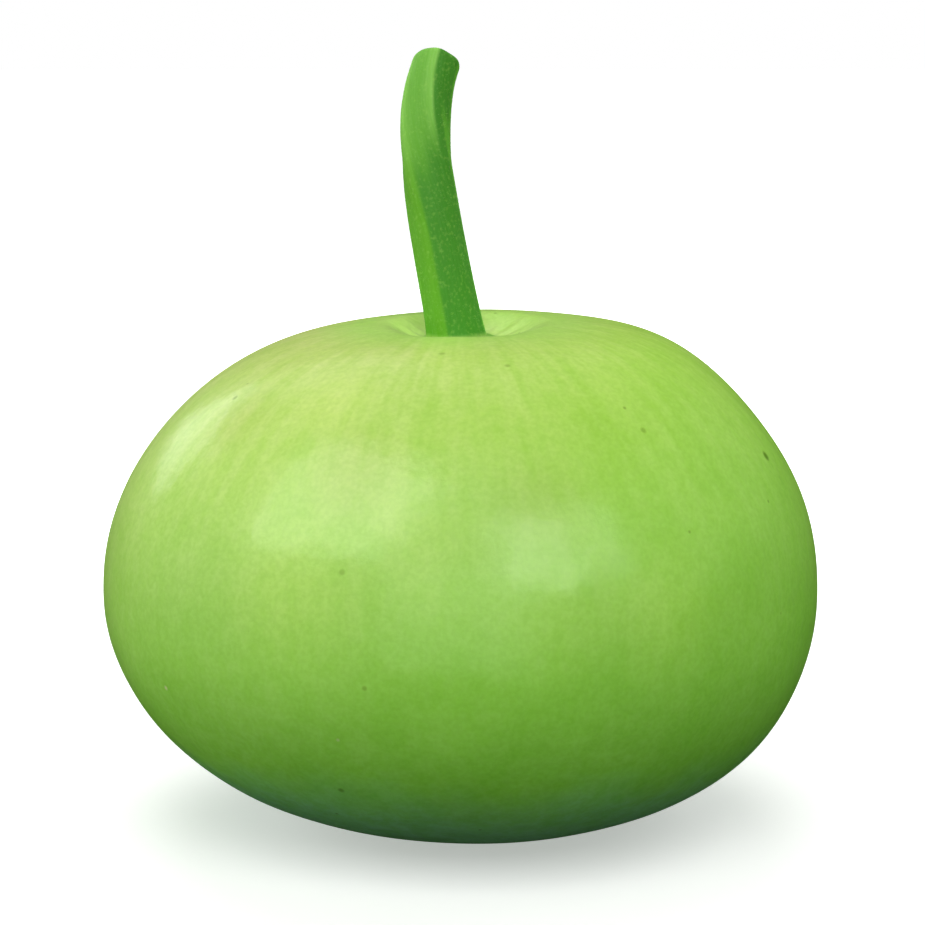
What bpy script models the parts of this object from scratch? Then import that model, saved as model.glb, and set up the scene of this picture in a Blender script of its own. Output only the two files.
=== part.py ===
"""A round bottle gourd as picked: a squat, smooth fruit standing on its blossom end, and the ridged
stem that it hung from, cut a few centimetres above the fruit."""

import math

import bmesh
import bpy
from mathutils import Vector

# Driving dimensions of the fruit, in metres and degrees
WIDTH = 0.1615
RISE = 0.0589
DROP = 0.0561
REST_DEPTH = 0.0007

# How the fruit departs from an ellipse, all round and towards its fuller right side
TOP_SQUARENESS = 2.11
BOTTOM_SQUARENESS = 2.36
BOTTOM_SQUARENESS_RIGHT = 0.19
SHOULDER_HEIGHT = 0.0030
SHOULDER_RIGHT = 0.48
SHOULDER_AT = math.radians(41.3)
SHOULDER_SPREAD = math.radians(20.5)
BELLY_HEIGHT = 0.0007
BELLY_AT = math.radians(95)
BELLY_SPREAD = math.radians(12)
OVAL = 0.006
OVAL_TURN = math.radians(70)
FACES = 0.004
FACES_TURN = math.radians(25)

# The hollow that the stem grows from, and the scar of the flower underneath
HOLLOW_DEPTH = 0.0042
FLOOR_RADIUS = 0.0085
LIP_RADIUS = 0.0188
LIP_RIGHT = 0.09
LIP_FRONT = 0.11
LIP_LONG = 0.15
FOLD_DEPTH = 0.0006
FOLDS = 6
FOLD_AT = 0.75
FOLD_SPREAD = 0.2
SCAR_DEPTH = 0.0014
SCAR_INNER_RADIUS = 0.0015
SCAR_RADIUS = 0.0065

# The stem, from its foot in the hollow to its cut end
STEM_X = -0.0007
STEM_HEIGHT = 0.0624
STEM_RADIUS = 0.0062
STEM_TAPER = 0.0009
FLARE = 0.0007
FLARE_HEIGHT = 0.0030
EDGE_ROUND = 0.0012
CUT_SLANT = 0.35
CUT_HIGH_AT = math.radians(278)
SLANT_FROM = 0.8
SWEEP_LEFT = 0.0121
SWEEP_BACK = 0.0083
SWEEP_POWER = 4.3
LEAN_BACK = 0.0050
UPRIGHT_TO = 0.15
TWIST = math.radians(-100)
TWIST_FROM = 0.33
TWIST_TO = 1.1
RIDGE_HEIGHT = 0.0008
RIDGE_SPREAD = math.radians(24)
CRESTS = ((0, 0.8), (60, 0.35), (125, 0.6), (192, 0.5), (252, 1.0))

# Clearance between the two grown parts, and where the stem's axis stands in the outline
GAP = 0.0003
AXIS_X = -0.0003

# Fineness of the meshes
FRUIT_SEGMENTS = 64
FRUIT_RINGS = 48
RING_PINCH = 0.45
STEM_SIDES = 36
STEM_CUTS = 27

SKIN_COLOUR = (0.34, 0.60, 0.10, 1.0)
STEM_COLOUR = (0.06, 0.24, 0.02, 1.0)


def bell(value, centre, spread):
    """1 at the centre, falling softly to 0 a few spreads away."""
    return math.exp(-(((value - centre) / spread) ** 2))


def step_up(value, start, end):
    """0 up to start, 1 from end on, and a smooth step between them."""
    share = min(max((value - start) / (end - start), 0.0), 1.0)
    return share * share * (3 - 2 * share)


def skin_reach(around, down):
    """How far the skin is from the fruit's middle, by the angle round the stem and down from it."""
    right = math.cos(around)
    across = (WIDTH / 2 - BELLY_HEIGHT) * (
        1 + OVAL * math.cos(2 * around - OVAL_TURN) + FACES * math.cos(5 * around - FACES_TURN)
    )
    upright = RISE if down < math.pi / 2 else DROP
    below = BOTTOM_SQUARENESS + BOTTOM_SQUARENESS_RIGHT * right
    power = below + (TOP_SQUARENESS - below) * step_up(math.cos(down), -0.5, 0.5)
    reach = (math.sin(down) / across) ** power + (abs(math.cos(down)) / upright) ** power
    reach = reach ** (-1 / power)
    reach += SHOULDER_HEIGHT * (1 + SHOULDER_RIGHT * right) * bell(down, SHOULDER_AT, SHOULDER_SPREAD)
    reach += BELLY_HEIGHT * bell(down, BELLY_AT, BELLY_SPREAD)
    return reach


def skin_point(around, down):
    """A point of the fruit's surface, measured from the fruit's middle."""
    reach = skin_reach(around, down)
    radius = reach * math.sin(down)
    height = reach * math.cos(down)
    if down < math.pi / 2:
        front = -math.sin(around)
        lip = LIP_RADIUS * (1 + LIP_RIGHT * math.cos(around) + LIP_FRONT * front + LIP_LONG * front**2)
        floor = RISE - HOLLOW_DEPTH
        height = floor + (height - floor) * step_up(radius, FLOOR_RADIUS, lip)
        folds = 0.5 + 0.5 * math.cos(FOLDS * around)
        height -= FOLD_DEPTH * folds * bell(radius, FOLD_AT * lip, FOLD_SPREAD * lip)
    else:
        height = max(height, REST_DEPTH - DROP)
        height += SCAR_DEPTH * (1 - step_up(radius, SCAR_INNER_RADIUS, SCAR_RADIUS))
    return Vector((radius * math.cos(around), radius * math.sin(around), height))


def ridge(angle):
    """The stem's soft lengthwise ridges, by the angle round it."""
    total = 0.0
    for crest, strength in CRESTS:
        away = math.remainder(angle - math.radians(crest), math.tau)
        total += strength * bell(away, 0.0, RIDGE_SPREAD)
    return total - 0.5


def stem_centre(share):
    """The stem's middle line, from its foot at 0 to its cut end at 1."""
    return Vector((
        SWEEP_BACK * abs(share) ** SWEEP_POWER - SWEEP_LEFT * share,
        LEAN_BACK * share**2,
        STEM_HEIGHT * share,
    ))


def stem_axes(share):
    """The two directions that a section of the stem lies in, and the one along it, upright at the foot."""
    small = 0.001
    along = (stem_centre(share + small) - stem_centre(share - small)).normalized()
    along = Vector((0, 0, 1)).lerp(along, step_up(share, 0.0, UPRIGHT_TO)).normalized()
    side = (Vector((1, 0, 0)) - along * along.x).normalized()
    return side, along.cross(side), along


def stem_radius(share, angle):
    """The stem's radius: a slight taper, ridges that twist, a flared foot and a worn cut edge."""
    height = share * STEM_HEIGHT
    radius = STEM_RADIUS - STEM_TAPER * share
    radius += RIDGE_HEIGHT * ridge(angle - TWIST * step_up(share, TWIST_FROM, TWIST_TO))
    radius += FLARE * math.exp(-height / FLARE_HEIGHT)
    past_edge = max(height - (STEM_HEIGHT - EDGE_ROUND), 0.0) / EDGE_ROUND
    return radius - EDGE_ROUND * (1 - math.sqrt(max(1 - past_edge**2, 0.0)))


def stem_point(share, angle):
    """A point of the stem's surface. The last rings lean, because the cut is higher on one side."""
    side, back, along = stem_axes(share)
    lift = CUT_SLANT * math.cos(angle - CUT_HIGH_AT) * step_up(share, SLANT_FROM, 1.0)
    spoke = math.cos(angle) * side + math.sin(angle) * back + lift * along
    return stem_centre(share) + stem_radius(share, angle) * spoke


def fruit_mesh():
    """A round grid whose rings draw together towards both ends, shaped by the skin's formula."""
    shape = bmesh.new()
    bmesh.ops.create_uvsphere(shape, u_segments=FRUIT_SEGMENTS, v_segments=FRUIT_RINGS, radius=1.0)
    for vertex in shape.verts:
        around = math.atan2(vertex.co.y, vertex.co.x)
        down = math.acos(max(-1.0, min(1.0, vertex.co.z)))
        down -= RING_PINCH * math.sin(2 * down) / 2
        vertex.co = skin_point(around, down)
    return finished_mesh(shape, "fruit", math.radians(60))


def stem_mesh():
    """A closed cylinder cut into rings, which crowd towards the cut end, then bent and ridged."""
    shape = bmesh.new()
    bmesh.ops.create_cone(
        shape, cap_ends=True, segments=STEM_SIDES, radius1=1.0, radius2=1.0, depth=1.0
    )
    upright = [edge for edge in shape.edges if abs(edge.verts[0].co.z - edge.verts[1].co.z) > 0.5]
    bmesh.ops.subdivide_edges(shape, edges=upright, cuts=STEM_CUTS)
    for vertex in shape.verts:
        share = vertex.co.z + 0.5
        share *= 1.5 - 0.5 * share**2
        vertex.co = stem_point(share, math.atan2(vertex.co.y, vertex.co.x))
    return finished_mesh(shape, "stem", math.radians(35))


def finished_mesh(shape, name, crease_angle):
    bmesh.ops.triangulate(shape, faces=shape.faces)
    bmesh.ops.recalc_face_normals(shape, faces=shape.faces)
    mesh = bpy.data.meshes.new(name)
    shape.to_mesh(mesh)
    shape.free()
    mesh.shade_smooth()
    mesh.set_sharp_from_angle(angle=crease_angle)
    return mesh


def plant_material(name, colour, roughness):
    material = bpy.data.materials.new(name)
    material.use_nodes = True
    shader = material.node_tree.nodes["Principled BSDF"]
    shader.inputs["Base Color"].default_value = colour
    shader.inputs["Roughness"].default_value = roughness
    shader.inputs["Metallic"].default_value = 0.0
    return material


def place(mesh, material, parent, location, collection):
    thing = bpy.data.objects.new(mesh.name, mesh)
    thing.data.materials.append(material)
    thing.parent = parent
    thing.location = location
    collection.objects.link(thing)


def build():
    for leftover in list(bpy.data.objects):
        bpy.data.objects.remove(leftover)
    collection = bpy.data.collections.new("round_bottle_gourd")
    bpy.context.scene.collection.children.link(collection)
    middle = bpy.data.objects.new("fruit_middle", None)
    middle.location = (AXIS_X, 0, DROP - REST_DEPTH)
    collection.objects.link(middle)
    skin = plant_material("green_skin", SKIN_COLOUR, 0.45)
    place(fruit_mesh(), skin, middle, (0, 0, 0), collection)
    foot = (STEM_X, 0, RISE - HOLLOW_DEPTH + GAP)
    rind = plant_material("green_rind", STEM_COLOUR, 0.55)
    place(stem_mesh(), rind, middle, foot, collection)


build()
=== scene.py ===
"""Looks of the round bottle gourd: a waxy, faintly mottled green fruit, its ridged stem with the
slanting cut end, and the soft light that it stands in."""

import math
import random

import bpy
import numpy as np
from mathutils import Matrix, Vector, noise


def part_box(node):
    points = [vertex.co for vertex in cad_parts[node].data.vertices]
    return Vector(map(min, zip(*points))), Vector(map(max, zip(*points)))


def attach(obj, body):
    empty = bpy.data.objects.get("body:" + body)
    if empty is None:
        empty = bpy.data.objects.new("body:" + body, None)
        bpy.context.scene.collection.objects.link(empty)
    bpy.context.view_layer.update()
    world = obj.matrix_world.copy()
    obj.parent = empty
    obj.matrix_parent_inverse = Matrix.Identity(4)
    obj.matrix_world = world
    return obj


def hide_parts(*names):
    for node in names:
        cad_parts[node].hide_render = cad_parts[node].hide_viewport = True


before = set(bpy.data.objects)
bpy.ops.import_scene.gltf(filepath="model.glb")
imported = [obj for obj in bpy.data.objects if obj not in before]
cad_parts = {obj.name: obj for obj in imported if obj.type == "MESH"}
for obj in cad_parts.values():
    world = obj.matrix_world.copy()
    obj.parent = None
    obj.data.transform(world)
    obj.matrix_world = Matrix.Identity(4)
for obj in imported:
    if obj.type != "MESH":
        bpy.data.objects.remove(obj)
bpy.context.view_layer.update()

# The fruit's form in metres and radians, as the solid has it
WIDTH = 0.1615
RISE = 0.0589
DROP = 0.0561
REST_DEPTH = 0.0007
TOP_SQUARENESS = 2.11
BOTTOM_SQUARENESS = 2.36
BOTTOM_SQUARENESS_RIGHT = 0.19
SHOULDER_HEIGHT = 0.0030
SHOULDER_RIGHT = 0.48
SHOULDER_AT = math.radians(41.3)
SHOULDER_SPREAD = math.radians(20.5)
BELLY_HEIGHT = 0.0007
BELLY_AT = math.radians(95)
BELLY_SPREAD = math.radians(12)
OVAL = 0.006
OVAL_TURN = math.radians(70)
FACES = 0.004
FACES_TURN = math.radians(25)
HOLLOW_DEPTH = 0.0042
FLOOR_RADIUS = 0.0085
LIP_RADIUS = 0.0188
LIP_RIGHT = 0.09
LIP_FRONT = 0.11
LIP_LONG = 0.15
FOLD_DEPTH = 0.0006
FOLDS = 6
FOLD_AT = 0.75
FOLD_SPREAD = 0.2
SCAR_DEPTH = 0.0014
SCAR_INNER_RADIUS = 0.0015
SCAR_RADIUS = 0.0065
AXIS_X = -0.0003

# The stem's form
STEM_X = -0.0007
STEM_HEIGHT = 0.0624
STEM_RADIUS = 0.0062
STEM_TAPER = 0.0009
FLARE = 0.0007
FLARE_HEIGHT = 0.0030
EDGE_ROUND = 0.0012
CUT_SLANT = 0.35
CUT_HIGH_AT = math.radians(278)
SLANT_FROM = 0.8
SWEEP_LEFT = 0.0121
SWEEP_BACK = 0.0083
SWEEP_POWER = 4.3
LEAN_BACK = 0.0050
UPRIGHT_TO = 0.15
TWIST = math.radians(-100)
TWIST_FROM = 0.33
TWIST_TO = 1.1
RIDGE_HEIGHT = 0.0008
RIDGE_SPREAD = math.radians(24)
CRESTS = ((0, 0.8), (60, 0.35), (125, 0.6), (192, 0.5), (252, 1.0))

# What only the finished skin has: slow waves, pleats, a collar round the stem and a button in the scar
FRUIT_SEGMENTS = 320
FRUIT_RINGS = 260
RING_PINCH = 0.45
WAVE_DEPTH = 0.00022
WAVE_LENGTH = 0.022
WAVES_FROM = (0.35, 0.6)
WAVES_TO = (2.3, 2.6)
PLEAT_DEPTH = 0.0002
PLEATS = 17
PLEAT_SWAY = 1.5
PLEAT_AT = 0.6
PLEAT_SPREAD = 0.22
COLLAR_HEIGHT = 0.0009
COLLAR_RADIUS = 0.0095
BUTTON_HEIGHT = 0.0007
BUTTON_RADIUS = 0.0013
BUTTON_LOBES = 0.3
GRAIN_STRETCH = 0.16

# What only the finished stem has: striae, short hairs, and the dish and bundles of its cut end
STEM_SIDES = 144
STEM_RINGS = 220
STEM_SINK = 0.0012
STRIA_DEPTH = 0.00004
STRIAE = 46
CUT_DISH = 0.0007
CUT_RINGS = 26
BUNDLES = 10
BUNDLE_AT = 0.68
BUNDLE_SPREAD = 0.07
BUNDLE_HEIGHT = 0.00025
HAIRS = 1500
HAIR_SEED = 7
HAIRS_ALONG = (0.02, 0.97)
HAIR_LENGTH = 0.0005
HAIR_SHARES = (0.45, 1.25)
HAIR_RADIUS = 0.00003
HAIR_LEAN = 0.35
HAIR_RISE = 0.25

# Marks on the skin: angle round and down in degrees, radius in metres and strength
DOTS = (
    (-17, 66, 0.0016, 0.90),
    (-51, 56, 0.0010, 0.40),
    (-76, 38, 0.0009, 0.35),
    (-96, 32, 0.0010, 0.35),
    (-108, 78, 0.0009, 0.35),
    (-111, 115, 0.0010, 0.55),
    (-104, 95, 0.0008, 0.40),
    (-150, 51, 0.0010, 0.50),
)
FLECKS = ((-142, 100, 0.0008, 0.7), (-109, 104, 0.0006, 0.4))
PALE_PATCHES = (
    (-58, 85, 0.020, 0.9),
    (-116, 82, 0.022, 0.9),
    (-75, 85, 0.017, 0.6),
    (-119, 48, 0.014, 0.5),
    (-96, 72, 0.018, 0.5),
)
DEEP_PATCHES = ((-109, 62, 0.016, 0.9), (-76, 68, 0.015, 0.6), (-142, 55, 0.014, 0.6))

# The share of a mark's radius that is solid, before it fades to its edge
DOT_CORE = 0.3
FLECK_CORE = 0.2
PATCH_CORE = 0.1

# Painted shade along creases in the hollow: angle round in degrees, where they begin and end, and
# strength
CREASE_SHADES = ((-5, 0.0065, 0.0185, 1.0), (182, 0.0085, 0.0175, 0.35))
CREASE_WIDTH = 0.0032
CREASE_RISES_FROM = 0.8
CREASE_FADES_FROM = 0.6

# Sizes of the patterns and the bumps of the skin, and how strongly some of them show
NOISE_RANGE = (0.3, 0.7)
STREAK_SIZE = 0.06
BLOTCH_SIZE = 0.018
BLOTCH_STRENGTH = 0.35
MOTTLE_SIZE = 0.003
PORE_SIZE = 0.0011
SMALL_DOT_SPACING = 0.013
SMALL_DOTS = (0.012, 0.045, 0.5, 0.0)
LUMP_SIZE = 0.006
LUMP_HEIGHT = 0.0002
GRIT_SIZE = 0.0012
GRIT_HEIGHT = 0.00004

# The same for the stem
FIBRE_SIZE = 0.09
FIBRE_STRENGTH = 0.7
SPECK_SIZE = 0.0008
PITH_SIZE = 0.0008
RIND_SIZE = 0.0006
RIND_HEIGHT = 0.00006

# Where the skin's colours change: from and to which angle down, and how much they show at each
STREAKS_BEGIN = (0.3, 0.5)
STREAKS_FADE = (0.6, 1.7, 0.6, 0.15)
MOTTLE_GROWS = (1.5, 2.1, 0.33, 0.62)
RING_FADES = (0.34, 0.60, 1.0, 0.0)
# The hollow's band is paler, painted light that lifts the shade of the hollow
HOLLOW_LIGHT_FADES = (0.14, 0.40, 0.9, 0.0)
# The band at the stem's foot is a darker green of painted shade where stem and fruit meet
FOOT_SHADE_FADES = (0.13, 0.18, 0.6, 0.0)
SCAR_BEGINS = (math.pi - 0.09, math.pi - 0.03)

# The painted shade under the fruit, a paler and bluer green: from and to which height, how much it
# shows, and how its edge wavers
SHADE_UNDER_FADES = (-0.66, -0.34, 1.0, 0.0)
SHADE_UNDER_WAVER = 0.04
SHADE_UNDER_WAVER_SIZE = 0.02

# Where the stem's colours change, along it, over its ridges and sides, in its specks and its cut end;
# its sides carry painted light and shade, with a painted rim light at the far edge of the shade
STEM_LIT_FROM = math.radians(205)
FLANK_CONTRAST = 2.0
STEM_PALER = (0.5, 0.85)
STEM_FOOT_FADES = (0.005, 0.03, 0.6, 0.0)
GROOVES = (-0.5, 0.3, 0.6, 0.0)
SHADE_SIDE = (0.15, 0.65, 1.0, 0.0)
RIM_LIGHT_EDGE = (-0.85, -0.45, 0.9, 0.0)
SPECKS = (0.50, 0.80, 0.0, 0.35)
CUT_BEGINS = (1.0, 1.15)

# Colours
# The skin's four greens hold painted light and shade: the top ones are paler with painted sheen where
# the light falls, the low ones deeper and more saturated in painted shade
SKIN_SUNLIT_TOP_LEFT = (0.64, 0.70, 0.22, 1)
SKIN_SUNLIT_TOP_RIGHT = (0.42, 0.735, 0.075, 1)
SKIN_SHADED_LOW_LEFT = (0.15, 0.80, 0.005, 1)
SKIN_SHADED_LOW_RIGHT = (0.20, 0.77, 0.06, 1)
SKIN_SHADE_UNDER = (0.29, 0.80, 0.28, 1)
SKIN_RING = (0.47, 0.78, 0.14, 1)
SKIN_HOLLOW_LIGHT = (0.57, 0.80, 0.20, 1)
SKIN_FOOT_SHADE = (0.20, 0.50, 0.05, 1)
PALE_TINT = (1.12, 1.05, 1.28, 1)
DARK_TINT = (0.87, 0.95, 0.72, 1)
PATCH_PALE = (1.22, 1.11, 1.26, 1)
PATCH_DEEP = (0.92, 0.88, 0.84, 1)
PORE_PALE = (1.05, 1.03, 1.07, 1)
PORE_DARK = (0.95, 0.97, 0.93, 1)
CREASE_SHADE_GREEN = (0.55, 0.74, 0.50, 1)
DOT_OLIVE = (0.10, 0.26, 0.00, 1)
FLECK_PALE = (0.80, 0.80, 0.40, 1)
SCAR_BROWN = (0.20, 0.12, 0.05, 1)
# The stem's lit, shaded and rim colours are painted light and shade
STEM_LIT = (0.14, 0.44, 0.022, 1)
STEM_PALE = (0.26, 0.63, 0.09, 1)
STEM_SHADE = (0.068, 0.31, 0.020, 1)
STEM_RIM_LIGHT = (0.14, 0.52, 0.020, 1)
STEM_GROOVE = (0.11, 0.40, 0.025, 1)
STEM_SPECK = (0.36, 0.68, 0.11, 1)
CUT_PALE = (0.52, 0.62, 0.30, 1)
CUT_DARK = (0.24, 0.32, 0.10, 1)
HAIR_COLOUR = (0.28, 0.56, 0.12, 1)
FLOOR_WHITE = (0.85, 0.85, 0.85, 1)

# The stage and its glow: from and to which distance, and how strong it is at each
FLOOR_SIZE = 6.0
FLOOR_GLOW = (0.10, 0.50, 0.40, 1.0)

# The two shining sides of the dome: the axis, its end and the strength there
DOME = {"left": ("X", -1.0, 0.24), "right": ("X", 1.0, 0.16)}

# The lights: degrees from the front to the right, degrees up, the size of a window, and the power
LIGHT_DISTANCE = 1.0
SOFT_SIZE = (0.82, 0.82)
SOFT_LIGHTS = {
    "front_top": (0, 45, 6.2),
    "front_left": (-45, 10, 1.4),
    "front_right": (45, 10, 1.7),
    "left": (-85, 5, 2.4),
    "side_left": (-110, 10, 2.6),
    "side_right": (110, 10, 0.7),
    "back_right": (130, 20, 3.6),
    "back": (180, 25, 1.7),
    "back_top": (-170, 60, 4.8),
}
WINDOWS = {
    "big_window": (-50, 47, (0.8, 0.72), 8.8),
    "pane": (27, 31, (0.44, 0.53), 3.9),
    "side_pane": (52, 31, (0.11, 0.5), 1.0),
    "far_window": (-153, 48, (0.5, 0.5), 0.45),
    "edge_window": (-138, 21, (0.45, 0.34), 1.15),
    "front_window_low": (0, 5, SOFT_SIZE, 3.8),
    "front_window_high": (0, 45, SOFT_SIZE, 1.5),
    "left_window": (-85, 30, SOFT_SIZE, 0.4),
    "right_window": (75, 25, SOFT_SIZE, 1.0),
}

# The camera, and the point that it and the lights are aimed at
AIM = Vector((0.0004, 0.0, 0.0817))
CAMERA_RISE = math.radians(10)
CAMERA_DISTANCE = 0.75
CAMERA_LENS = 129.0

# Directions, and the places that both forms are measured from
UP = Vector((0, 0, 1))
RIGHT = Vector((1, 0, 0))
fruit_low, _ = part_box("fruit")
fruit_middle = Vector((AXIS_X, 0, fruit_low.z + DROP - REST_DEPTH))
stem_foot = fruit_middle + Vector((STEM_X, 0, RISE - HOLLOW_DEPTH))


def bell(value, centre, spread):
    """1 at the centre, falling softly to 0 a few spreads away."""
    return np.exp(-(((value - centre) / spread) ** 2))


def step_up(value, start, end):
    """0 up to start, 1 from end on, and a smooth step between them."""
    share = np.clip((value - start) / (end - start), 0.0, 1.0)
    return share * share * (3 - 2 * share)


def skin_reach(around, down):
    """How far the skin is from the fruit's middle, by the angle round the stem and down from it."""
    right = np.cos(around)
    across = (WIDTH / 2 - BELLY_HEIGHT) * (
        1 + OVAL * np.cos(2 * around - OVAL_TURN) + FACES * np.cos(5 * around - FACES_TURN)
    )
    upright = np.where(down < math.pi / 2, RISE, DROP)
    below = BOTTOM_SQUARENESS + BOTTOM_SQUARENESS_RIGHT * right
    power = below + (TOP_SQUARENESS - below) * step_up(np.cos(down), -0.5, 0.5)
    reach = (np.sin(down) / across) ** power + (np.abs(np.cos(down)) / upright) ** power
    reach = reach ** (-1 / power)
    reach += SHOULDER_HEIGHT * (1 + SHOULDER_RIGHT * right) * bell(down, SHOULDER_AT, SHOULDER_SPREAD)
    reach += BELLY_HEIGHT * bell(down, BELLY_AT, BELLY_SPREAD)
    return reach


def skin_points(around, down):
    """Points of the fruit's surface, measured from the fruit's middle."""
    reach = skin_reach(around, down)
    radius = reach * np.sin(down)
    height = reach * np.cos(down)
    front = -np.sin(around)
    lip = LIP_RADIUS * (1 + LIP_RIGHT * np.cos(around) + LIP_FRONT * front + LIP_LONG * front**2)
    floor = RISE - HOLLOW_DEPTH
    top = floor + (height - floor) * step_up(radius, FLOOR_RADIUS, lip)
    folds = 0.5 + 0.5 * np.cos(FOLDS * around)
    top -= FOLD_DEPTH * folds * bell(radius, FOLD_AT * lip, FOLD_SPREAD * lip)
    pleats = 0.5 + 0.5 * np.cos(PLEATS * around + PLEAT_SWAY * np.sin(2 * around))
    top -= PLEAT_DEPTH * pleats * bell(radius, PLEAT_AT * lip, PLEAT_SPREAD * lip)
    top += COLLAR_HEIGHT * (1 - step_up(radius, STEM_RADIUS, COLLAR_RADIUS))
    bottom = np.maximum(height, REST_DEPTH - DROP)
    bottom = bottom + SCAR_DEPTH * (1 - step_up(radius, SCAR_INNER_RADIUS, SCAR_RADIUS))
    lobes = 1 + BUTTON_LOBES * np.cos(5 * around)
    bottom -= BUTTON_HEIGHT * bell(radius, 0.0, BUTTON_RADIUS) * lobes
    height = np.where(down < math.pi / 2, top, bottom)
    return np.stack([radius * np.cos(around), radius * np.sin(around), height], axis=-1)


def skin_spot(around, down):
    """The place on the skin at those two angles in degrees, for a mark."""
    return fruit_middle + Vector(skin_points(math.radians(around), math.radians(down)))


def ridge(angle):
    """The stem's soft lengthwise ridges, by the angle round it."""
    total = np.zeros_like(angle)
    for crest, strength in CRESTS:
        away = np.remainder(angle - math.radians(crest) + math.pi, math.tau) - math.pi
        total += strength * bell(away, 0.0, RIDGE_SPREAD)
    return total - 0.5


def faces_light(angle, straight):
    """How squarely the stem's surface faces the light from its lit side, for its painted light and
    shade, with the ridges' flanks told apart clearly.
    """
    small = 0.01
    slope = (ridge(straight + small) - ridge(straight - small)) / (2 * small)
    facing = angle - FLANK_CONTRAST * RIDGE_HEIGHT / STEM_RADIUS * slope
    return np.cos(facing - STEM_LIT_FROM)


def stem_centre(share):
    """The stem's middle line, from its foot at 0 to its cut end at 1."""
    return Vector((
        SWEEP_BACK * abs(share) ** SWEEP_POWER - SWEEP_LEFT * share,
        LEAN_BACK * share**2,
        STEM_HEIGHT * share,
    ))


def stem_axes(share):
    """The two directions that a section of the stem lies in, and the one along it."""
    small = 0.001
    along = (stem_centre(share + small) - stem_centre(share - small)).normalized()
    along = UP.lerp(along, float(step_up(share, 0.0, UPRIGHT_TO))).normalized()
    side = (RIGHT - along * along.x).normalized()
    return side, along.cross(side), along


def untwisted(share, angle):
    """The angle that a point of the stem would have if its ridges ran straight."""
    return angle - TWIST * step_up(share, TWIST_FROM, TWIST_TO)


def stem_radius(share, angle):
    """The stem's radius: a slight taper, ridges that twist, a flared foot and a worn cut edge."""
    height = share * STEM_HEIGHT
    straight = untwisted(share, angle)
    radius = STEM_RADIUS - STEM_TAPER * share + RIDGE_HEIGHT * ridge(straight)
    radius += FLARE * math.exp(-max(height, 0.0) / FLARE_HEIGHT)
    radius += STRIA_DEPTH * np.cos(STRIAE * straight + 2 * np.sin(3 * angle))
    past_edge = max(height - (STEM_HEIGHT - EDGE_ROUND), 0.0) / EDGE_ROUND
    return radius - EDGE_ROUND * (1 - math.sqrt(max(1 - past_edge**2, 0.0)))


def stem_ring(share, angle, radius, sunk):
    """One ring of the stem's points. The last rings lean, because the cut is higher on one side."""
    side, back, along = stem_axes(share)
    lift = CUT_SLANT * np.cos(angle - CUT_HIGH_AT) * step_up(share, SLANT_FROM, 1.0)
    centre = np.array(stem_foot + stem_centre(share))
    spokes = np.outer(np.cos(angle), side) + np.outer(np.sin(angle), back) + np.outer(lift, along)
    return centre + spokes * radius[:, None] - np.outer(sunk, along)


def lattice_mesh(name, rings):
    """A closed surface through rings of points, with a fan of faces at each end."""
    count, sides = rings.shape[:2]
    ends = [rings[0].mean(axis=0), rings[-1].mean(axis=0)]
    points = np.concatenate([rings.reshape(-1, 3), np.array(ends)])
    first, last = count * sides, count * sides + 1
    faces = []
    for ring in range(count - 1):
        for side in range(sides):
            after = (side + 1) % sides
            low, high = ring * sides, (ring + 1) * sides
            faces.append((low + side, low + after, high + after, high + side))
    for side in range(sides):
        after = (side + 1) % sides
        faces.append((first, after, side))
        faces.append((last, (count - 1) * sides + side, (count - 1) * sides + after))
    mesh = bpy.data.meshes.new(name)
    mesh.from_pydata(points.tolist(), [], faces)
    mesh.shade_smooth()
    return mesh


def keep_values(mesh, name, rings, ends):
    """Stores a number or vector for each point of the rings and the two ends, for the materials."""
    rings = np.asarray(rings, dtype=np.float32)
    ends = np.asarray(ends, dtype=np.float32)
    values = np.concatenate([rings.reshape(-1, *ends.shape[1:]), ends])
    if values.ndim == 1:
        layer = mesh.attributes.new(name, "FLOAT", "POINT")
        layer.data.foreach_set("value", values)
    else:
        layer = mesh.attributes.new(name, "FLOAT_VECTOR", "POINT")
        layer.data.foreach_set("vector", values.ravel())


def show(mesh, material, node=None):
    """Makes a piece of the object from a mesh, in the place of a node if one is named."""
    thing = bpy.data.objects.new(mesh.name, mesh)
    bpy.context.scene.collection.objects.link(thing)
    mesh.materials.append(material)
    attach(thing, "root")
    if node:
        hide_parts(node)


def fruit_mesh():
    """The skin as a fine round grid, with its slow waves and the finer pleats of the hollow."""
    turn = np.linspace(0.0, math.tau, FRUIT_SEGMENTS, endpoint=False)
    fall = np.linspace(math.pi, 0.0, FRUIT_RINGS + 1)[1:-1]
    fall = fall - RING_PINCH * np.sin(2 * fall) / 2
    down, around = np.meshgrid(fall, turn, indexing="ij")
    points = skin_points(around, down)
    outward = points / np.linalg.norm(points, axis=-1, keepdims=True)
    depth = WAVE_DEPTH * step_up(down, *WAVES_FROM) * (1 - step_up(down, *WAVES_TO))
    waves = [noise.noise(Vector(point) / WAVE_LENGTH) for point in points.reshape(-1, 3).tolist()]
    waves = depth * np.array(waves).reshape(down.shape)
    mesh = lattice_mesh("gourd_skin", np.array(fruit_middle) + points + outward * waves[..., None])
    keep_values(mesh, "outward", outward, [-UP, UP])
    keep_values(mesh, "down", down, [math.pi, 0.0])
    grain = np.stack([np.cos(around), np.sin(around), down * GRAIN_STRETCH], axis=-1)
    keep_values(mesh, "grain", grain, [UP * math.pi * GRAIN_STRETCH, UP * 0.0])
    return mesh


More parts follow.
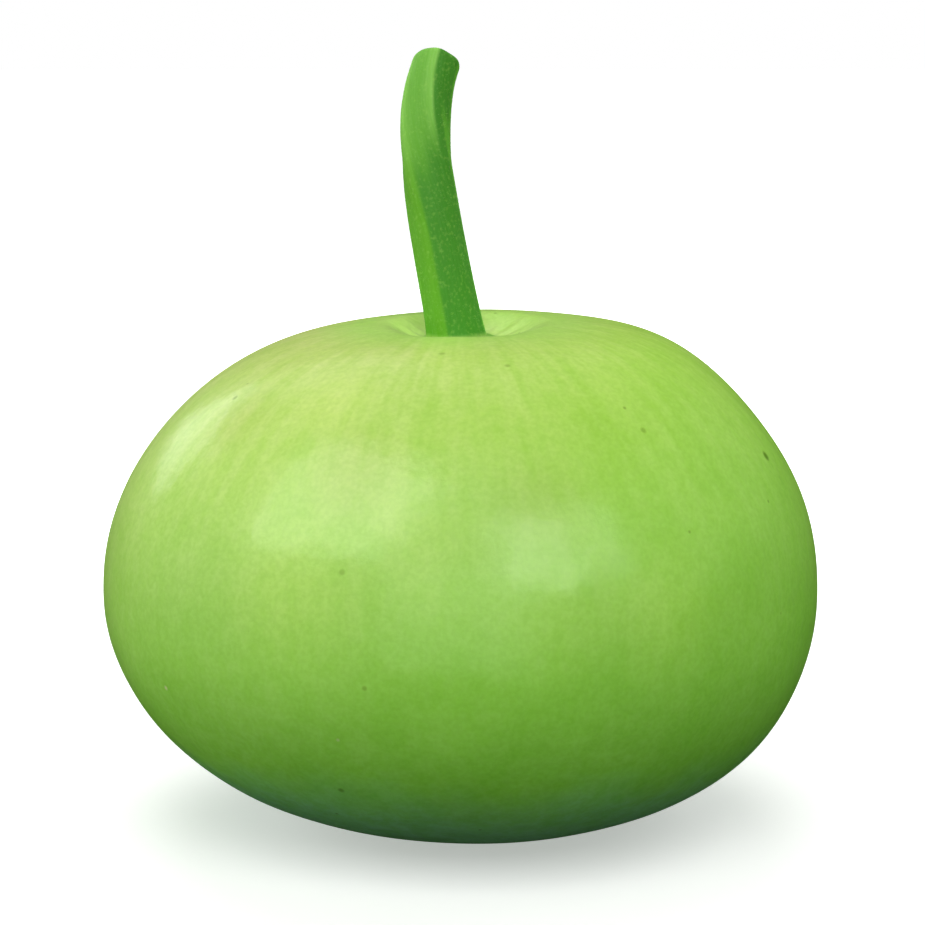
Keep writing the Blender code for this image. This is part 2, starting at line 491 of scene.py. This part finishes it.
def stem_mesh():
    """The stem as a fine grid, whose rings crowd towards the worn edge and go on into the cut end."""
    angle = np.linspace(0.0, math.tau, STEM_SIDES, endpoint=False)
    shares = np.linspace(-STEM_SINK / STEM_HEIGHT, 1.0, STEM_RINGS)
    shares = np.where(shares > 0, shares * (1.5 - 0.5 * shares**2), shares).tolist()
    level = np.zeros_like(angle)
    rings = [stem_ring(share, angle, stem_radius(share, angle), level) for share in shares]
    cut = [level for _ in shares]
    rim = stem_radius(1.0, angle)
    for step in range(1, CUT_RINGS):
        inner = 1 - step / CUT_RINGS
        bundles = bell(inner, BUNDLE_AT, BUNDLE_SPREAD) * (0.5 + 0.5 * np.cos(BUNDLES * angle))
        sunk = CUT_DISH * (1 - inner**2) - BUNDLE_HEIGHT * bundles
        rings.append(stem_ring(1.0, angle, rim * inner, sunk))
        shares.append(1.0)
        cut.append(level + 2 - inner)
    mesh = lattice_mesh("gourd_stem", np.array(rings))
    straight = [untwisted(share, angle) for share in shares]
    keep_values(mesh, "ridge", [ridge(turn) for turn in straight], [0.0, 0.0])
    keep_values(mesh, "cut", cut, [0.0, 2.0])
    # How squarely each point faces the light, for the stem's painted light and shade
    keep_values(mesh, "lit", [faces_light(angle, turn) for turn in straight], [0.0, 0.0])
    grain = [
        np.stack([np.cos(turn), np.sin(turn), level + share], axis=-1)
        for share, turn in zip(shares, straight)
    ]
    keep_values(mesh, "grain", grain, [UP * 0.0, UP])
    return mesh


def hair_mesh():
    """Short pale hairs all over the stem, each a thin closed spike of three sides."""
    draw = random.Random(HAIR_SEED)
    points, faces = [], []
    for _ in range(HAIRS):
        share = draw.uniform(*HAIRS_ALONG)
        angle = np.array([draw.uniform(0.0, math.tau)])
        root = Vector(stem_ring(share, angle, stem_radius(share, angle) - HAIR_RADIUS, np.zeros(1))[0])
        _, _, along = stem_axes(share)
        outward = (root - stem_foot - stem_centre(share)).normalized()
        lean = Vector([draw.gauss(0, HAIR_LEAN) for _ in range(3)]) + along * HAIR_RISE
        tip = root + (outward + lean).normalized() * HAIR_LENGTH * draw.uniform(*HAIR_SHARES)
        first = len(points)
        across = outward.cross(along)
        for corner in range(3):
            turn = math.tau * corner / 3
            points.append(root + HAIR_RADIUS * (math.cos(turn) * along + math.sin(turn) * across))
        points.append(tip)
        faces.append((first, first + 2, first + 1))
        for corner in range(3):
            faces.append((first + corner, first + (corner + 1) % 3, first + 3))
    mesh = bpy.data.meshes.new("stem_hairs")
    mesh.from_pydata(points, [], faces)
    return mesh


class Nodes:
    """A material's node tree, with a short call for each kind of node used here."""

    def __init__(self, name):
        self.material = bpy.data.materials.new(name)
        self.material.use_nodes = True
        self.tree = self.material.node_tree
        self.shader = self.tree.nodes["Principled BSDF"]

    def add(self, kind, inputs, **settings):
        item = self.tree.nodes.new(kind)
        for key, value in settings.items():
            setattr(item, key, value)
        for key, value in inputs.items():
            self.put(item.inputs[key], value)
        return item

    def put(self, socket, value):
        if isinstance(value, bpy.types.NodeSocket):
            self.tree.links.new(value, socket)
        else:
            socket.default_value = value

    def set(self, **values):
        for key, value in values.items():
            self.put(self.shader.inputs[key.replace("_", " ")], value)

    def place(self):
        return self.add("ShaderNodeTexCoord", {}).outputs["Object"]

    def stored(self, name, output="Fac"):
        return self.add("ShaderNodeAttribute", {}, attribute_name=name).outputs[output]

    def math(self, operation, first, second=0.0):
        return self.add("ShaderNodeMath", {0: first, 1: second}, operation=operation).outputs[0]

    def along(self, vector, direction):
        """How far the vector goes in that direction."""
        inputs = {0: vector, 1: direction}
        return self.add("ShaderNodeVectorMath", inputs, operation="DOT_PRODUCT").outputs["Value"]

    def stretch(self, value, low, high, to_low=0.0, to_high=1.0, shape="SMOOTHSTEP"):
        inputs = {"Value": value, "From Min": low, "From Max": high, "To Min": to_low, "To Max": to_high}
        return self.add("ShaderNodeMapRange", inputs, interpolation_type=shape).outputs["Result"]

    def spread(self, direction, side, first, second):
        """One colour on the one side of the object, passing evenly into the other on the other side."""
        share = self.stretch(self.along(direction, side), -1.0, 1.0, shape="LINEAR")
        return self.mix(share, first, second)

    def near(self, vector, spot, inner, outer):
        """1 round a spot, falling to 0 at the outer distance from it."""
        away = self.add("ShaderNodeVectorMath", {0: vector, 1: spot}, operation="DISTANCE")
        return self.stretch(away.outputs["Value"], inner, outer, 1.0, 0.0)

    def crease_shade(self, vector, around, start, end):
        """1 along a soft line that runs outward from the stem at that angle, and 0 away from it, for
        painted crease shade.
        """
        turn = math.radians(around)
        outward = Vector((math.cos(turn), math.sin(turn), 0))
        aside = Vector((-math.sin(turn), math.cos(turn), 0))
        reach = self.math("SUBTRACT", self.along(vector, outward), fruit_middle.dot(outward))
        off = self.math("SUBTRACT", self.along(vector, aside), fruit_middle.dot(aside))
        line = self.stretch(self.math("ABSOLUTE", off), 0.0, CREASE_WIDTH, 1.0, 0.0)
        rising = self.stretch(reach, CREASE_RISES_FROM * start, start)
        fading = self.stretch(reach, CREASE_FADES_FROM * end, end, 1.0, 0.0)
        return self.math("MULTIPLY", line, self.math("MULTIPLY", rising, fading))

    def marked(self, colour, place, marks, core, shade, blend="MIX"):
        """The colour with soft round marks of that shade, solid for a share of their radius."""
        for around, down, size, strength in marks:
            mark = self.near(place, skin_spot(around, down), core * size, size)
            colour = self.mix(self.math("MULTIPLY", mark, strength), colour, shade, blend)
        return colour

    def tinted(self, colour, grains, strength, tints=(DARK_TINT, PALE_TINT)):
        """The colour made deeper where the grains are low and paler where they are high."""
        share = self.stretch(grains, *NOISE_RANGE)
        return self.mix(strength, colour, self.mix(share, *tints), "MULTIPLY")

    def grains(self, vector, size, detail=2.0, roughness=0.5):
        """Noise whose soft lumps are about that size."""
        inputs = {"Vector": vector, "Scale": 1 / size, "Detail": detail, "Roughness": roughness}
        return self.add("ShaderNodeTexNoise", inputs).outputs["Fac"]

    def mix(self, share, first, second, blend="MIX"):
        inputs = {"Factor": share, 6: first, 7: second}
        return self.add("ShaderNodeMix", inputs, data_type="RGBA", blend_type=blend).outputs[2]

    def bump(self, height, distance, under=None):
        inputs = {"Height": height, "Distance": distance}
        if under:
            inputs["Normal"] = under
        return self.add("ShaderNodeBump", inputs).outputs["Normal"]


def skin_greens(nodes, place, down):
    """Four greens blended across the fruit, paler with painted light and sheen at the top and deeper in
    painted shade below, the painted shade tint of the underside, and the bands round the stem, with
    painted light in the hollow and painted shade at the stem's foot.
    """
    outward = nodes.stored("outward", "Vector")
    # Painted light and shade: paler towards the top, where the light falls, and deeper towards the
    # bottom
    left = nodes.spread(outward, UP, SKIN_SHADED_LOW_LEFT, SKIN_SUNLIT_TOP_LEFT)
    right = nodes.spread(outward, UP, SKIN_SHADED_LOW_RIGHT, SKIN_SUNLIT_TOP_RIGHT)
    colour = nodes.spread(outward, RIGHT, left, right)
    # Painted shade: the bluer green of the shaded underside, with a wavering edge
    blotches = nodes.grains(place, SHADE_UNDER_WAVER_SIZE, 3.0)
    waver = nodes.stretch(blotches, *NOISE_RANGE, -SHADE_UNDER_WAVER, SHADE_UNDER_WAVER)
    height = nodes.math("ADD", nodes.along(outward, UP), waver)
    colour = nodes.mix(nodes.stretch(height, *SHADE_UNDER_FADES), colour, SKIN_SHADE_UNDER)
    colour = nodes.mix(nodes.stretch(down, *RING_FADES), colour, SKIN_RING)
    # Painted light: the hollow round the stem is paler, lifting its shade
    colour = nodes.mix(nodes.stretch(down, *HOLLOW_LIGHT_FADES), colour, SKIN_HOLLOW_LIGHT)
    # Painted shade: darker green round the stem's foot, where it meets the fruit
    colour = nodes.mix(nodes.stretch(down, *FOOT_SHADE_FADES), colour, SKIN_FOOT_SHADE)
    # Painted shade along the creases in the hollow
    for around, start, end, strength in CREASE_SHADES:
        crease_shade = nodes.math("MULTIPLY", nodes.crease_shade(place, around, start, end), strength)
        colour = nodes.mix(crease_shade, colour, CREASE_SHADE_GREEN, "MULTIPLY")
    return colour


def skin_patterns(nodes, colour, place, down):
    """Streaks that run down from the stem, blotches, patches and mottling, and the fine pores."""
    grain = nodes.stored("grain", "Vector")
    beginning = nodes.stretch(down, *STREAKS_BEGIN)
    streaky = nodes.math("MULTIPLY", beginning, nodes.stretch(down, *STREAKS_FADE))
    colour = nodes.tinted(colour, nodes.grains(grain, STREAK_SIZE), streaky)
    colour = nodes.tinted(colour, nodes.grains(place, BLOTCH_SIZE), BLOTCH_STRENGTH)
    colour = nodes.marked(colour, place, PALE_PATCHES, PATCH_CORE, PATCH_PALE, "MULTIPLY")
    colour = nodes.marked(colour, place, DEEP_PATCHES, PATCH_CORE, PATCH_DEEP, "MULTIPLY")
    mottled = nodes.stretch(down, *MOTTLE_GROWS)
    colour = nodes.tinted(colour, nodes.grains(place, MOTTLE_SIZE, 3.0, 0.6), mottled)
    return nodes.tinted(colour, nodes.grains(place, PORE_SIZE), 1.0, (PORE_DARK, PORE_PALE))


def skin_marks(nodes, colour, place, down):
    """Small dots all over, the single larger ones, the pale flecks and the flower's scar."""
    cells = nodes.add("ShaderNodeTexVoronoi", {"Vector": place, "Scale": 1 / SMALL_DOT_SPACING})
    colour = nodes.mix(nodes.stretch(cells.outputs["Distance"], *SMALL_DOTS), colour, DOT_OLIVE)
    colour = nodes.marked(colour, place, DOTS, DOT_CORE, DOT_OLIVE)
    colour = nodes.marked(colour, place, FLECKS, FLECK_CORE, FLECK_PALE)
    return nodes.mix(nodes.stretch(down, *SCAR_BEGINS), colour, SCAR_BROWN)


def skin_material():
    """Waxy skin: its colour in layers, two sizes of bumps, and a thin clear coat for the gloss."""
    nodes = Nodes("green_skin")
    place = nodes.place()
    down = nodes.stored("down")
    colour = skin_greens(nodes, place, down)
    colour = skin_patterns(nodes, colour, place, down)
    colour = skin_marks(nodes, colour, place, down)
    normal = nodes.bump(nodes.grains(place, LUMP_SIZE), LUMP_HEIGHT)
    normal = nodes.bump(nodes.grains(place, GRIT_SIZE, 3.0, 0.6), GRIT_HEIGHT, under=normal)
    nodes.set(Base_Color=colour, Roughness=0.5, Normal=normal)
    nodes.set(Specular_IOR_Level=0.1, Coat_Weight=0.5, Coat_Roughness=0.21, Coat_Normal=normal)
    nodes.set(Subsurface_Weight=0.1, Subsurface_Radius=(0.6, 1.0, 0.3), Subsurface_Scale=0.003)
    return nodes.material


def stem_material():
    """Green rind with painted light on its lit side, painted shade on the other and a painted rim light
    at the shade's far edge, grooves, specks and fibres, and the cut's pale pith.
    """
    nodes = Nodes("green_rind")
    place = nodes.place()
    grain = nodes.stored("grain", "Vector")
    lit = nodes.stored("lit")
    share = nodes.along(grain, UP)
    colour = nodes.mix(nodes.stretch(share, *STEM_PALER), STEM_LIT, STEM_PALE)
    colour = nodes.mix(nodes.stretch(nodes.stored("ridge"), *GROOVES), colour, STEM_GROOVE)
    # Painted light and shade: the lit side, the shaded side, and a lighter painted rim light at the
    # shade's far edge
    dark = nodes.mix(nodes.stretch(lit, *RIM_LIGHT_EDGE), STEM_SHADE, STEM_RIM_LIGHT)
    colour = nodes.mix(nodes.stretch(lit, *SHADE_SIDE), colour, dark)
    specks = nodes.stretch(nodes.grains(place, SPECK_SIZE), *SPECKS)
    colour = nodes.mix(specks, colour, STEM_SPECK)
    # The stem's foot takes the hollow's paler colour, which is painted light
    colour = nodes.mix(nodes.stretch(share, *STEM_FOOT_FADES), colour, SKIN_HOLLOW_LIGHT)
    colour = nodes.tinted(colour, nodes.grains(grain, FIBRE_SIZE, 4.0, 0.6), FIBRE_STRENGTH)
    pith = nodes.mix(nodes.grains(place, PITH_SIZE, 3.0), CUT_PALE, CUT_DARK)
    colour = nodes.mix(nodes.stretch(nodes.stored("cut"), *CUT_BEGINS), colour, pith)
    normal = nodes.bump(nodes.grains(place, RIND_SIZE, 3.0), RIND_HEIGHT)
    nodes.set(Base_Color=colour, Roughness=0.6, Specular_IOR_Level=0.12, Normal=normal)
    return nodes.material


def hair_material():
    nodes = Nodes("pale_hairs")
    nodes.set(Base_Color=HAIR_COLOUR, Roughness=0.6)
    return nodes.material


def dress():
    show(fruit_mesh(), skin_material(), "fruit")
    show(stem_mesh(), stem_material(), "stem")
    show(hair_mesh(), hair_material())


def stage():
    """A white floor that glows a little, and gives no light back to the fruit."""
    nodes = Nodes("pale_ground")
    away = nodes.add("ShaderNodeVectorMath", {0: nodes.place()}, operation="LENGTH").outputs["Value"]
    glow = nodes.stretch(away, *FLOOR_GLOW)
    nodes.set(Base_Color=FLOOR_WHITE, Roughness=0.9)
    nodes.set(Emission_Color=(1, 1, 1, 1), Emission_Strength=glow)
    half = FLOOR_SIZE / 2
    corners = [(-half, -half, 0), (half, -half, 0), (half, half, 0), (-half, half, 0)]
    mesh = bpy.data.meshes.new("ground")
    mesh.from_pydata(corners, [], [(0, 1, 2, 3)])
    mesh.materials.append(nodes.material)
    ground = bpy.data.objects.new("ground", mesh)
    ground.visible_diffuse = False
    ground.visible_glossy = False
    bpy.context.scene.collection.objects.link(ground)


def sky():
    """A dome that shines softly from the left and the right. The camera sees it as plain white."""
    world = bpy.data.worlds.new("soft_dome")
    bpy.context.scene.world = world
    world.use_nodes = True
    tree = world.node_tree
    shade = tree.nodes["Background"]
    shade.inputs["Color"].default_value = (1, 1, 1, 1)
    direction = tree.nodes.new("ShaderNodeTexCoord")
    parts = tree.nodes.new("ShaderNodeSeparateXYZ")
    tree.links.new(direction.outputs["Generated"], parts.inputs[0])
    path = tree.nodes.new("ShaderNodeLightPath")
    pick = tree.nodes.new("ShaderNodeMix")
    pick.inputs["B"].default_value = 1.0
    tree.links.new(path.outputs["Is Camera Ray"], pick.inputs["Factor"])
    total = None
    for axis, far, strength in DOME.values():
        rise = tree.nodes.new("ShaderNodeMapRange")
        rise.inputs["From Max"].default_value = far
        rise.inputs["To Max"].default_value = strength
        tree.links.new(parts.outputs[axis], rise.inputs["Value"])
        both = tree.nodes.new("ShaderNodeMath")
        both.inputs[1].default_value = 0.0
        tree.links.new(rise.outputs["Result"], both.inputs[0])
        if total:
            tree.links.new(total, both.inputs[1])
        total = both.outputs[0]
    tree.links.new(total, pick.inputs["A"])
    tree.links.new(pick.outputs["Result"], shade.inputs["Strength"])
    world.cycles_visibility.glossy = False


def towards(turn, rise):
    """The direction turned from the front to the right by so many degrees, and raised by so many."""
    turn, rise = math.radians(turn), math.radians(rise)
    return Vector((math.sin(turn) * math.cos(rise), -math.cos(turn) * math.cos(rise), math.sin(rise)))


def light(name, turn, rise, size, power, seen_in_gloss, lights_up):
    """A rectangular light in that direction from the object, for its gloss, its colours or both."""
    lamp = bpy.data.lights.new(name, "AREA")
    lamp.shape = "RECTANGLE"
    lamp.size, lamp.size_y = size
    lamp.energy = power
    thing = bpy.data.objects.new(name, lamp)
    thing.location = AIM + towards(turn, rise) * LIGHT_DISTANCE
    thing.rotation_euler = towards(turn, rise).to_track_quat("Z", "Y").to_euler()
    thing.visible_camera = False
    thing.visible_glossy = seen_in_gloss
    thing.visible_diffuse = lights_up
    bpy.context.scene.collection.objects.link(thing)


def lights():
    for name, (turn, rise, power) in SOFT_LIGHTS.items():
        light(name, turn, rise, SOFT_SIZE, power, seen_in_gloss=False, lights_up=True)
    for name, (turn, rise, size, power) in WINDOWS.items():
        light(name, turn, rise, size, power, seen_in_gloss=True, lights_up=False)


def camera():
    lens = bpy.data.cameras.new("camera")
    lens.lens = CAMERA_LENS
    lens.clip_start = 0.01
    thing = bpy.data.objects.new("camera", lens)
    back = Vector((0, -math.cos(CAMERA_RISE), math.sin(CAMERA_RISE)))
    thing.location = AIM + back * CAMERA_DISTANCE
    thing.rotation_euler = (math.pi / 2 - CAMERA_RISE, 0, 0)
    bpy.context.scene.collection.objects.link(thing)
    bpy.context.scene.camera = thing


dress()
stage()
sky()
lights()
camera()
bpy.context.scene.view_settings.view_transform = "Standard"
